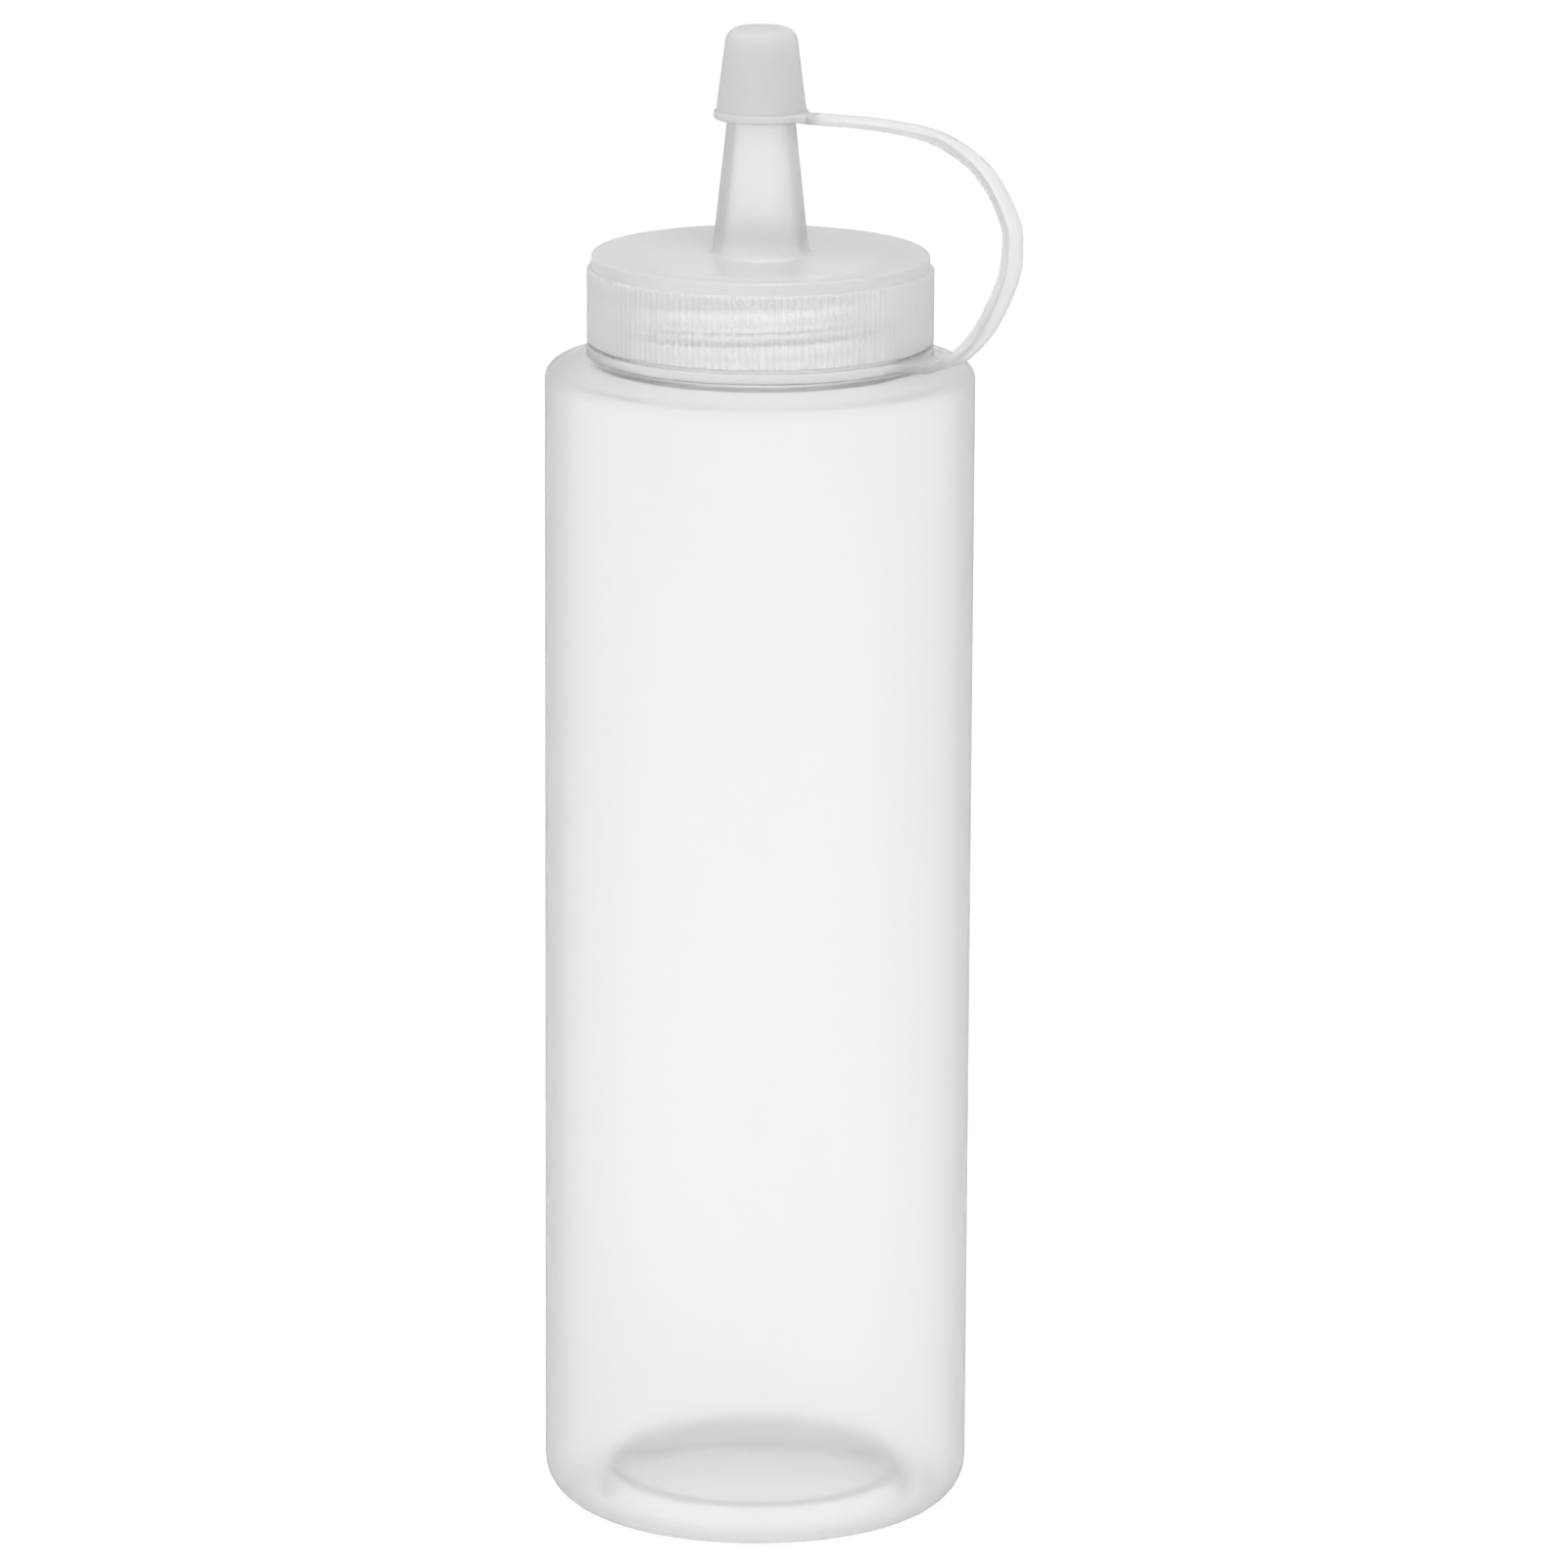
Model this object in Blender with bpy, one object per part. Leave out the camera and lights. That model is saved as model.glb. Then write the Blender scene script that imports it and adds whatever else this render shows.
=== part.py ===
"""Condiment squeeze bottle with a knurled screw cap and a tethered tip cap.

The bottle is a thin blown shell. A tether ring lies round the foot of its neck, a screw cap with
a tapered nozzle closes the neck, and a flexible strap joins the ring to the small cap on the
nozzle's tip. The model stands on z = 0 with the bottle's axis on the z axis, in metres.
"""
import math

import bmesh
import bpy
from mathutils import Matrix, Vector

MM = 0.001

# Clearances between neighbouring pieces
SEAT_GAP = 0.3 * MM
PLUG_GAP = 0.3 * MM
TIP_CAP_GAP = 0.4 * MM

# Bottle body
BODY_RADIUS = 27.5 * MM
BODY_HEIGHT = 148.7 * MM
BODY_WALL = 0.9 * MM
FLOOR_WALL = 1.2 * MM
HEEL_RADIUS = 5.5 * MM
SHOULDER_RADIUS = 2.0 * MM
SHOULDER_SLOPE = math.radians(20.0)

# Recess moulded into the underside, which leaves a flat ring to stand on
STANDING_WIDTH = 1.9 * MM
PUNT_STEP = 1.5 * MM
PUNT_DEPTH = 3.4 * MM
PUNT_CROWN = 1.8 * MM

# Bottle neck, which stands in from the body's wall, and the flat land round its foot
NECK_SETBACK = 8.1 * MM
LAND_MARGIN = 0.4 * MM
NECK_WALL = 1.5 * MM
NECK_HEIGHT = 11.3 * MM
NECK_FOOT_RADIUS = 0.8 * MM
MOUTH_CHAMFER = 0.3 * MM

# Tether ring, strap and their lugs, which are one moulding with the tip cap
RING_ROOM = 1.5 * MM
RING_WIDTH = 1.3 * MM
STRAP_THICKNESS = 1.1 * MM
STRAP_WIDTH = 3.2 * MM
STRAP_ROOT_WIDTH = 6.2 * MM
STRAP_EDGE = 0.25 * MM
STRAP_STANDOFF = 14.25 * MM
STRAP_BEARING = math.radians(-45.0)
RING_LUG_FLARE = 2.0 * MM
RING_LUG_LENGTH = 3.6 * MM
TIP_LUG_FLARE = 1.4 * MM
TIP_LUG_LENGTH = 1.6 * MM

# Screw cap
CAP_ROOF = 1.4 * MM
CAP_RIM_HEIGHT = 1.7 * MM
CAP_RIM_STEP = 0.55 * MM
CAP_RIM_FILLET = 0.5 * MM
SKIRT_WALL = 0.87 * MM
KNURL_DEPTH = 0.33 * MM
RIDGE_COUNT = 156
THREAD_ROOM = 1.55 * MM
PLUG_WALL = 1.0 * MM
PLUG_DEPTH = 3.2 * MM
PLUG_LEAD = 0.3 * MM

# Nozzle on the screw cap
NOZZLE_FOOT_RADIUS = 6.2 * MM
NOZZLE_FOOT_FILLET = 0.5 * MM
NOZZLE_TIP_RADIUS = 3.4 * MM
NOZZLE_TIP_EDGE = 0.3 * MM
NOZZLE_HEIGHT = 25.8 * MM
NOZZLE_WALL = 1.15 * MM

# Tip cap
TIP_CAP_RADIUS = 5.9 * MM
TIP_CAP_TOP_RADIUS = 4.4 * MM
TIP_CAP_CORNER = 1.8 * MM
TIP_CAP_OVERLAP = 8.4 * MM
TIP_CAP_ROOF = 2.9 * MM
TIP_CAP_EDGE = 0.3 * MM
TIP_CAP_BAND = 0.15 * MM

# Hinge line that the tip cap swings about, where the strap bends over
SWING_SETBACK = 6.75 * MM
SWING_RISE = 0.8 * MM

# Steps round each turned piece and along each curve
BOTTLE_STEPS = 72
RING_STEPS = 72
TIP_CAP_STEPS = 48
RIDGES_PER_FACET = 2
ARC_STEPS = 6
FILLET_STEPS = 3
STRAP_STEPS = 5

OVERRUN = 0.5 * MM
MERGE_DISTANCE = 0.01 * MM
SHARP_ANGLE = math.radians(35.0)

# Strap's line from the ring's lug to its furthest point, then up and back to the tip cap's lug:
# the share of the way out to that point, and the share of the rise between the two lugs
LOWER_STRAP_SHARES = ((0.0, 0.0), (0.28, 0.045), (0.64, 0.182), (0.93, 0.385))
UPPER_STRAP_SHARES = (
    (1.0, 0.525), (0.983, 0.655), (0.855, 0.845), (0.64, 0.963), (0.36, 1.0), (0.0, 1.0),
)
# Share of the strap's stations over which it narrows from its root to its plain width
STRAP_TAPER_SHARE = 0.6

# Sizes across that follow from the ones above, from the body's wall inwards and out again
PUNT_RADIUS = BODY_RADIUS - HEEL_RADIUS - STANDING_WIDTH
NECK_RADIUS = BODY_RADIUS - NECK_SETBACK
RING_INNER_RADIUS = NECK_RADIUS + RING_ROOM
RING_OUTER_RADIUS = RING_INNER_RADIUS + RING_WIDTH
LAND_RADIUS = RING_OUTER_RADIUS + LAND_MARGIN
SKIRT_INNER_RADIUS = NECK_RADIUS + THREAD_ROOM
KNURL_RADIUS = SKIRT_INNER_RADIUS + SKIRT_WALL + KNURL_DEPTH
CAP_RIM_RADIUS = KNURL_RADIUS - CAP_RIM_STEP
STRAP_REACH = RING_OUTER_RADIUS + STRAP_STANDOFF
SWING_REACH = STRAP_REACH - SWING_SETBACK

# Heights that follow from the sizes above, from the standing plane up
SHOULDER_TURN = math.radians(90.0) - SHOULDER_SLOPE
SHOULDER_EDGE_RADIUS = BODY_RADIUS - SHOULDER_RADIUS * (1.0 - math.cos(SHOULDER_TURN))
SHOULDER_EDGE_Z = BODY_HEIGHT + SHOULDER_RADIUS * math.sin(SHOULDER_TURN)
LAND_Z = SHOULDER_EDGE_Z + (SHOULDER_EDGE_RADIUS - LAND_RADIUS) * math.tan(SHOULDER_SLOPE)
MOUTH_Z = LAND_Z + NECK_HEIGHT
RING_Z = LAND_Z + SEAT_GAP
SKIRT_Z = RING_Z + STRAP_THICKNESS + SEAT_GAP
ROOF_UNDER_Z = MOUTH_Z + SEAT_GAP
CAP_TOP_Z = ROOF_UNDER_Z + CAP_ROOF
NOZZLE_TIP_Z = CAP_TOP_Z + NOZZLE_HEIGHT
TIP_CAP_Z = NOZZLE_TIP_Z - TIP_CAP_OVERLAP
TIP_CAP_TOP_Z = NOZZLE_TIP_Z + SEAT_GAP + TIP_CAP_ROOF
NOZZLE_TAPER = (NOZZLE_FOOT_RADIUS - NOZZLE_TIP_RADIUS) / NOZZLE_HEIGHT
RING_LUG_END = RING_OUTER_RADIUS + RING_LUG_LENGTH
TIP_LUG_END = TIP_CAP_RADIUS + TIP_LUG_LENGTH


def clear_scene():
    """Remove whatever the file holds, so that only this model is in it."""
    for thing in list(bpy.data.objects):
        bpy.data.objects.remove(thing, do_unlink=True)


def plastic(name, colour, roughness):
    """A pale moulded plastic."""
    material = bpy.data.materials.new(name)
    material.use_nodes = True
    shader = material.node_tree.nodes["Principled BSDF"]
    shader.inputs["Base Color"].default_value = (*colour, 1.0)
    shader.inputs["Roughness"].default_value = roughness
    shader.inputs["Metallic"].default_value = 0.0
    material.diffuse_color = (*colour, 1.0)
    return material


def arc(centre_r, centre_z, across, up, first, last, steps):
    """Points of a round or oval arc in the r-z plane, with its angles in degrees."""
    points = []
    for step in range(steps + 1):
        angle = math.radians(first + (last - first) * step / steps)
        points.append((centre_r + across * math.cos(angle), centre_z + up * math.sin(angle)))
    return points


def turned(outline, steps, closed):
    """Spin an r-z outline round the z axis into a shell whose faces point out."""
    shell = bmesh.new()
    corners = [shell.verts.new((r, 0.0, z)) for r, z in outline]
    pairs = list(zip(corners, corners[1:]))
    if closed:
        pairs.append((corners[-1], corners[0]))
    edges = [shell.edges.new(pair) for pair in pairs]
    bmesh.ops.spin(
        shell, geom=corners + edges, cent=Vector(), axis=Vector((0.0, 0.0, 1.0)),
        angle=math.tau, steps=steps, use_merge=True, use_duplicate=False,
    )
    bmesh.ops.remove_doubles(shell, verts=shell.verts, dist=MERGE_DISTANCE)
    bmesh.ops.recalc_face_normals(shell, faces=shell.faces)
    return shell


def finish(name, shell, material):
    """Turn a bmesh into a named object with one material and smooth round faces."""
    mesh = bpy.data.meshes.new(name)
    shell.to_mesh(mesh)
    shell.free()
    mesh.materials.append(material)
    mesh.shade_smooth()
    mesh.set_sharp_from_angle(angle=SHARP_ANGLE)
    thing = bpy.data.objects.new(name, mesh)
    bpy.context.scene.collection.objects.link(thing)
    return thing


def punt_crown():
    """The recess's domed top in section, from the axis out to its step."""
    reach = PUNT_RADIUS - PUNT_STEP
    dome = (reach * reach + PUNT_CROWN * PUNT_CROWN) / (2.0 * PUNT_CROWN)
    turn = math.degrees(math.asin(reach / dome))
    points = arc(0.0, PUNT_DEPTH + PUNT_CROWN - dome, dome, dome, 90.0, 90.0 - turn, ARC_STEPS)
    points[0] = (0.0, PUNT_DEPTH + PUNT_CROWN)
    return points


def bottle_outline():
    """The bottle's wall in section: outside from the underside up, then inside back down."""
    heel_r = BODY_RADIUS - HEEL_RADIUS
    corner_r = BODY_RADIUS - SHOULDER_RADIUS
    corner_turn = math.degrees(SHOULDER_TURN)
    crown = punt_crown()
    points = [*crown, (PUNT_RADIUS, 0.0)]
    points += arc(heel_r, HEEL_RADIUS, HEEL_RADIUS, HEEL_RADIUS, -90.0, 0.0, ARC_STEPS)
    points += arc(
        corner_r, BODY_HEIGHT, SHOULDER_RADIUS, SHOULDER_RADIUS, 0.0, corner_turn, ARC_STEPS
    )
    points.append((LAND_RADIUS, LAND_Z))
    points += arc(
        NECK_RADIUS + NECK_FOOT_RADIUS, LAND_Z + NECK_FOOT_RADIUS,
        NECK_FOOT_RADIUS, NECK_FOOT_RADIUS, 270.0, 180.0, FILLET_STEPS,
    )
    points.append((NECK_RADIUS, MOUTH_Z - MOUTH_CHAMFER))
    points.append((NECK_RADIUS - MOUTH_CHAMFER, MOUTH_Z))
    bore = NECK_RADIUS - NECK_WALL
    points.append((bore + MOUTH_CHAMFER, MOUTH_Z))
    points.append((bore, MOUTH_Z - MOUTH_CHAMFER))
    land_under = LAND_Z - BODY_WALL
    points.append((bore, land_under))
    inner_corner = arc(
        corner_r, BODY_HEIGHT, SHOULDER_RADIUS - BODY_WALL, SHOULDER_RADIUS - BODY_WALL,
        corner_turn, 0.0, ARC_STEPS,
    )
    edge_r, edge_z = inner_corner[0]
    points.append((edge_r - (land_under - edge_z) / math.tan(SHOULDER_SLOPE), land_under))
    points += inner_corner
    points += arc(
        heel_r, HEEL_RADIUS, HEEL_RADIUS - BODY_WALL, HEEL_RADIUS - FLOOR_WALL,
        0.0, -90.0, ARC_STEPS,
    )
    points.append((PUNT_RADIUS, FLOOR_WALL))
    points += [(r, z + FLOOR_WALL) for r, z in reversed(crown)]
    return points


def make_bottle():
    """The blown bottle: body, shoulder, neck and recessed underside in one thin shell."""
    shell = turned(bottle_outline(), BOTTLE_STEPS, closed=False)
    return finish("bottle", shell, plastic("frosted bottle", (0.86, 0.86, 0.86), 0.42))


def screw_cap_outline():
    """The screw cap's section, from the nozzle's tip down the outside and back up the bore."""
    root = KNURL_RADIUS - KNURL_DEPTH
    step_z = CAP_TOP_Z - CAP_RIM_HEIGHT
    foot_z = CAP_TOP_Z + NOZZLE_FOOT_FILLET
    plug_outer = NECK_RADIUS - NECK_WALL - PLUG_GAP
    plug_inner = plug_outer - PLUG_WALL
    plug_z = ROOF_UNDER_Z - PLUG_DEPTH
    tip_r = NOZZLE_TIP_RADIUS
    points = [(tip_r - NOZZLE_WALL, NOZZLE_TIP_Z), (tip_r - NOZZLE_TIP_EDGE, NOZZLE_TIP_Z)]
    points.append((tip_r + NOZZLE_TAPER * NOZZLE_TIP_EDGE, NOZZLE_TIP_Z - NOZZLE_TIP_EDGE))
    points += arc(
        NOZZLE_FOOT_RADIUS + NOZZLE_FOOT_FILLET, foot_z,
        NOZZLE_FOOT_FILLET, NOZZLE_FOOT_FILLET, 180.0, 270.0, FILLET_STEPS,
    )
    points += arc(
        CAP_RIM_RADIUS - CAP_RIM_FILLET, CAP_TOP_Z - CAP_RIM_FILLET,
        CAP_RIM_FILLET, CAP_RIM_FILLET, 90.0, 0.0, FILLET_STEPS,
    )
    points += [(CAP_RIM_RADIUS, step_z), (root, step_z), (root, SKIRT_Z)]
    points += [(SKIRT_INNER_RADIUS, SKIRT_Z), (SKIRT_INNER_RADIUS, ROOF_UNDER_Z)]
    points += [(plug_outer, ROOF_UNDER_Z), (plug_outer, plug_z + PLUG_LEAD)]
    points += [(plug_outer - PLUG_LEAD, plug_z), (plug_inner, plug_z)]
    points += [(plug_inner, ROOF_UNDER_Z), (NOZZLE_FOOT_RADIUS - NOZZLE_WALL, ROOF_UNDER_Z)]
    return points


def band_vertices(shell):
    """The vertices on the upper and lower edges of the skirt's outer band."""
    inside = (CAP_RIM_RADIUS + KNURL_RADIUS - KNURL_DEPTH) / 2.0
    step_z = CAP_TOP_Z - CAP_RIM_HEIGHT
    found = []
    for vertex in shell.verts:
        off_edge = min(abs(vertex.co.z - SKIRT_Z), abs(vertex.co.z - step_z))
        if off_edge < MERGE_DISTANCE and math.hypot(vertex.co.x, vertex.co.y) > inside:
            found.append(vertex)
    return found


def raise_ridges(shell):
    """Cut the skirt's plain band into narrow strips and pull every other edge out as a ridge."""
    band = set(band_vertices(shell))
    round_edges = []
    for edge in shell.edges:
        one, other = edge.verts
        if one in band and other in band and abs(one.co.z - other.co.z) < MERGE_DISTANCE:
            round_edges.append(edge)
    bmesh.ops.subdivide_edges(shell, edges=round_edges, cuts=2 * RIDGES_PER_FACET - 1)
    half_ridge = math.tau / (2 * RIDGE_COUNT)
    for vertex in band_vertices(shell):
        index = round(math.atan2(vertex.co.y, vertex.co.x) / half_ridge)
        radius = KNURL_RADIUS if index % 2 == 0 else KNURL_RADIUS - KNURL_DEPTH
        vertex.co.x = radius * math.cos(index * half_ridge)
        vertex.co.y = radius * math.sin(index * half_ridge)


def make_screw_cap():
    """The screw cap: knurled skirt, stepped smooth rim, nozzle and the plug that seals the neck."""
    shell = turned(screw_cap_outline(), RIDGE_COUNT // RIDGES_PER_FACET, closed=True)
    raise_ridges(shell)
    bmesh.ops.recalc_face_normals(shell, faces=shell.faces)
    return finish("screw_cap", shell, plastic("frosted cap", (0.84, 0.84, 0.85), 0.38))


def lug(name, first, last, base_z, width, flare):
    """A flat tongue that widens in a round flare where it leaves its ring or cap."""
    half = width / 2.0
    curve = arc(last - flare, half + flare, flare, flare, 270.0, 180.0, FILLET_STEPS)
    side = [(last, half)] + [(s, v) for s, v in curve if s > first]
    outline = side + [(first, side[-1][1])]
    outline += [(s, -v) for s, v in reversed(outline)]
    tongue = bmesh.new()
    corners = [tongue.verts.new((s, v, base_z)) for s, v in outline]
    sheet = tongue.faces.new(corners)
    grown = bmesh.ops.extrude_face_region(tongue, geom=[sheet])
    risen = [part for part in grown["geom"] if isinstance(part, bmesh.types.BMVert)]
    bmesh.ops.translate(tongue, verts=risen, vec=(0.0, 0.0, STRAP_THICKNESS))
    bmesh.ops.recalc_face_normals(tongue, faces=tongue.faces)
    mesh = bpy.data.meshes.new(name)
    tongue.to_mesh(mesh)
    tongue.free()
    guide = bpy.data.objects.new(name, mesh)
    bpy.context.scene.collection.objects.link(guide)
    guide.rotation_euler.z = STRAP_BEARING
    guide.hide_render = True
    guide.display_type = "WIRE"
    return guide


def join_lug(thing, guide):
    """Fuse a lug to its ring or cap."""
    union = thing.modifiers.new("lug", "BOOLEAN")
    union.operation = "UNION"
    union.solver = "EXACT"
    union.object = guide


def make_tether_ring():
    """The flat ring round the neck's foot, with the lug that the strap leaves from."""
    top = RING_Z + STRAP_THICKNESS
    outline = [
        (RING_OUTER_RADIUS, RING_Z), (RING_OUTER_RADIUS, top - STRAP_EDGE),
        (RING_OUTER_RADIUS - STRAP_EDGE, top), (RING_INNER_RADIUS, top),
        (RING_INNER_RADIUS, RING_Z),
    ]
    shell = turned(outline, RING_STEPS, closed=True)
    ring = finish("tether_ring", shell, plastic("tether ring", (0.85, 0.85, 0.86), 0.4))
    inside = RING_OUTER_RADIUS - OVERRUN
    guide = lug("ring_lug_guide", inside, RING_LUG_END, RING_Z, STRAP_ROOT_WIDTH, RING_LUG_FLARE)
    join_lug(ring, guide)
    return ring


def smooth_line(points, steps):
    """Points along a smooth curve that passes through all the given ones."""
    first = points[0] * 2.0 - points[1]
    last = points[-1] * 2.0 - points[-2]
    ends = [first, *points, last]
    line = []
    for before, start, stop, after in zip(ends, ends[1:], ends[2:], ends[3:]):
        for step in range(steps):
            t = step / steps
            line.append(
                0.5 * (
                    2.0 * start + (stop - before) * t
                    + (2.0 * before - 5.0 * start + 4.0 * stop - after) * t * t
                    + (3.0 * start - before - 3.0 * stop + after) * t * t * t
                )
            )
    return [*line, points[-1].copy()]


def strap_line():
    """The middle line of the strap, from the ring's lug to the tip cap's lug."""
    low = RING_Z + STRAP_THICKNESS / 2.0
    rise = TIP_CAP_Z - RING_Z
    points = []
    for start, shares in ((RING_LUG_END, LOWER_STRAP_SHARES), (TIP_LUG_END, UPPER_STRAP_SHARES)):
        for out_share, rise_share in shares:
            reach = start + (STRAP_REACH - start) * out_share
            points.append(Vector((reach, 0.0, low + rise * rise_share)))
    return smooth_line(points, STRAP_STEPS)


def strap_section(progress_share):
    """The strap's cross-section at a share of its stations: a chamfered flat bar, as (across, up) pairs."""
    root_share = max(0.0, 1.0 - progress_share / STRAP_TAPER_SHARE)
    wide = (STRAP_WIDTH + (STRAP_ROOT_WIDTH - STRAP_WIDTH) * root_share) / 2.0
    thick = STRAP_THICKNESS / 2.0
    return [
        (wide, thick - STRAP_EDGE), (wide - STRAP_EDGE, thick),
        (STRAP_EDGE - wide, thick), (-wide, thick - STRAP_EDGE),
        (-wide, STRAP_EDGE - thick), (STRAP_EDGE - wide, -thick),
        (wide - STRAP_EDGE, -thick), (wide, STRAP_EDGE - thick),
    ]


def make_strap():
    """The flexible strap, swept along its line and turned to its bearing."""
    line = strap_line()
    across = Vector((0.0, 1.0, 0.0))
    outward = Vector((1.0, 0.0, 0.0))
    shell = bmesh.new()
    rings = []
    for index, point in enumerate(line):
        ahead = line[min(index + 1, len(line) - 1)] - line[max(index - 1, 0)]
        if index == 0:
            ahead = outward
        elif index == len(line) - 1:
            ahead = -outward
        up = ahead.normalized().cross(across)
        section = strap_section(index / (len(line) - 1))
        rings.append([shell.verts.new(point + across * v + up * w) for v, w in section])
    for ring, following in zip(rings, rings[1:]):
        for corner in range(len(ring)):
            after = (corner + 1) % len(ring)
            shell.faces.new((ring[corner], ring[after], following[after], following[corner]))
    shell.faces.new(rings[0])
    shell.faces.new(rings[-1])
    bmesh.ops.recalc_face_normals(shell, faces=shell.faces)
    strap = finish("tether_strap", shell, plastic("tether strap", (0.87, 0.87, 0.88), 0.4))
    strap.rotation_euler.z = STRAP_BEARING
    return strap


def tip_cap_outline():
    """The tip cap's section: outside from the axis down, then up its tapered socket."""
    lean = (TIP_CAP_RADIUS - TIP_CAP_TOP_RADIUS) / (TIP_CAP_TOP_Z - TIP_CAP_Z)
    lean_turn = math.degrees(math.atan(lean))
    corner_r = TIP_CAP_TOP_RADIUS - TIP_CAP_CORNER + TIP_CAP_CORNER * lean
    band_top = TIP_CAP_Z + STRAP_THICKNESS
    band_r = TIP_CAP_RADIUS + TIP_CAP_BAND
    wall_r = TIP_CAP_RADIUS - lean * STRAP_THICKNESS
    mouth = NOZZLE_TIP_RADIUS + NOZZLE_TAPER * TIP_CAP_OVERLAP + TIP_CAP_GAP
    points = [(0.0, TIP_CAP_TOP_Z)]
    points += arc(
        corner_r, TIP_CAP_TOP_Z - TIP_CAP_CORNER, TIP_CAP_CORNER, TIP_CAP_CORNER,
        90.0, lean_turn, ARC_STEPS,
    )
    points += [(wall_r, band_top), (band_r, band_top - TIP_CAP_BAND)]
    points += [(band_r, TIP_CAP_Z + TIP_CAP_EDGE), (band_r - TIP_CAP_EDGE, TIP_CAP_Z)]
    points.append((mouth, TIP_CAP_Z))
    points.append((NOZZLE_TIP_RADIUS + TIP_CAP_GAP, NOZZLE_TIP_Z))
    points.append((NOZZLE_TIP_RADIUS, NOZZLE_TIP_Z + SEAT_GAP))
    points.append((0.0, NOZZLE_TIP_Z + SEAT_GAP))
    return points


def make_tip_cap():
    """The small cap on the nozzle, carried by an empty on the line that it swings about."""
    shell = turned(tip_cap_outline(), TIP_CAP_STEPS, closed=False)
    cap = finish("tip_cap", shell, plastic("tip cap", (0.8, 0.8, 0.81), 0.36))
    inside = TIP_CAP_RADIUS - OVERRUN
    guide = lug("tip_lug_guide", inside, TIP_LUG_END, TIP_CAP_Z, STRAP_WIDTH, TIP_LUG_FLARE)
    join_lug(cap, guide)
    swing = bpy.data.objects.new("tip_swing_line", None)
    swing.empty_display_size = STRAP_WIDTH
    place = Matrix.Rotation(STRAP_BEARING, 4, "Z") @ Matrix.Translation(
        (SWING_REACH, 0.0, TIP_CAP_Z + SWING_RISE)
    )
    swing.matrix_world = place
    bpy.context.scene.collection.objects.link(swing)
    cap.parent = swing
    cap.matrix_parent_inverse = place.inverted()
    return cap


def main():
    """Build every piece of the bottle."""
    clear_scene()
    make_bottle()
    make_screw_cap()
    make_tether_ring()
    make_strap()
    make_tip_cap()


main()
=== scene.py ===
"""Looks of the condiment squeeze bottle: fine meshes, frosted plastics, studio light and camera.

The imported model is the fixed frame. Each sub-assembly below is a class that builds the visible
meshes of its own nodes, gives them a frosted plastic and lets them ride on their bodies. Sizes
are in metres, angles in radians, and +Z runs up along the bottle's axis.
"""
from __future__ import annotations

import logging
import math
from collections.abc import Callable
from dataclasses import dataclass, field
from enum import Enum

import bmesh
import bpy
from mathutils import Matrix, Vector

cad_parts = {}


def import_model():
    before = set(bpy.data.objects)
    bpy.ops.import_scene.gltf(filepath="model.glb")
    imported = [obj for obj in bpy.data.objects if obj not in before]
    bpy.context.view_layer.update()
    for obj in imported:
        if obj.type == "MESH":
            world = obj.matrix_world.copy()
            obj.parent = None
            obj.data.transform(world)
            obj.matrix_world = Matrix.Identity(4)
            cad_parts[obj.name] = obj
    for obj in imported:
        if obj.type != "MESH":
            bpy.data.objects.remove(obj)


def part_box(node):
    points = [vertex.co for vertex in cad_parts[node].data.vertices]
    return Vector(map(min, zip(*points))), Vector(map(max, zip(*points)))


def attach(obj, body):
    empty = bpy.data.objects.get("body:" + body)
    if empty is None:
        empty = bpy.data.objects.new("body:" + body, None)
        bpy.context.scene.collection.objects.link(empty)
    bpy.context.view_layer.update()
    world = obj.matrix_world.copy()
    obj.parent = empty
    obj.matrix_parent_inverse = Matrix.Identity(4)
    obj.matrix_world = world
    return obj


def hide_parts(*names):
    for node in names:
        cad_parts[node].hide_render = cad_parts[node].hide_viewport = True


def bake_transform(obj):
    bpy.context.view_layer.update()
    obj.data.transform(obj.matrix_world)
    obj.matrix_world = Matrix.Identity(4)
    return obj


MM = 0.001
LOG = logging.getLogger("squeeze_bottle")

SMOOTH_ANGLE = math.radians(32.0)
MERGE_DISTANCE = 0.002 * MM
TOUCH_DISTANCE = 0.01 * MM
SEED_SIZE = 1.0 * MM
BEVEL_SEGMENTS = 3
THREAD_PITCH = 4.2 * MM
STRAP_BEARING = math.radians(-45.0)

Point = tuple[float, float, float]


class Body(str, Enum):
    """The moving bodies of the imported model."""

    BOTTLE = "bottle"
    TETHER = "tether"
    SCREW_CAP = "screw_cap"
    TIP_CAP = "tip_cap"


class Slot(str, Enum):
    """The record's material slots."""

    BOTTLE = "bottle_plastic"
    CAP = "cap_plastic"
    TETHER = "tether_plastic"
    TIP_CAP = "tip_cap_plastic"


def clear_selection() -> None:
    """Deselect every object, so that an operator reaches only the new piece."""
    bpy.ops.object.select_all(action="DESELECT")


def take_up(thing: bpy.types.Object) -> None:
    """Make one object the only selected one and the active one.

    Args:
        thing: The object that the next operators act on.
    """
    clear_selection()
    thing.select_set(True)
    bpy.context.view_layer.objects.active = thing


def open_edit(thing: bpy.types.Object) -> None:
    """Open one object for editing.

    Args:
        thing: The mesh object to edit.
    """
    take_up(thing)
    bpy.ops.object.mode_set(mode="EDIT")


def leave_edit() -> None:
    """Go back to object mode."""
    bpy.ops.object.mode_set(mode="OBJECT")


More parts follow.
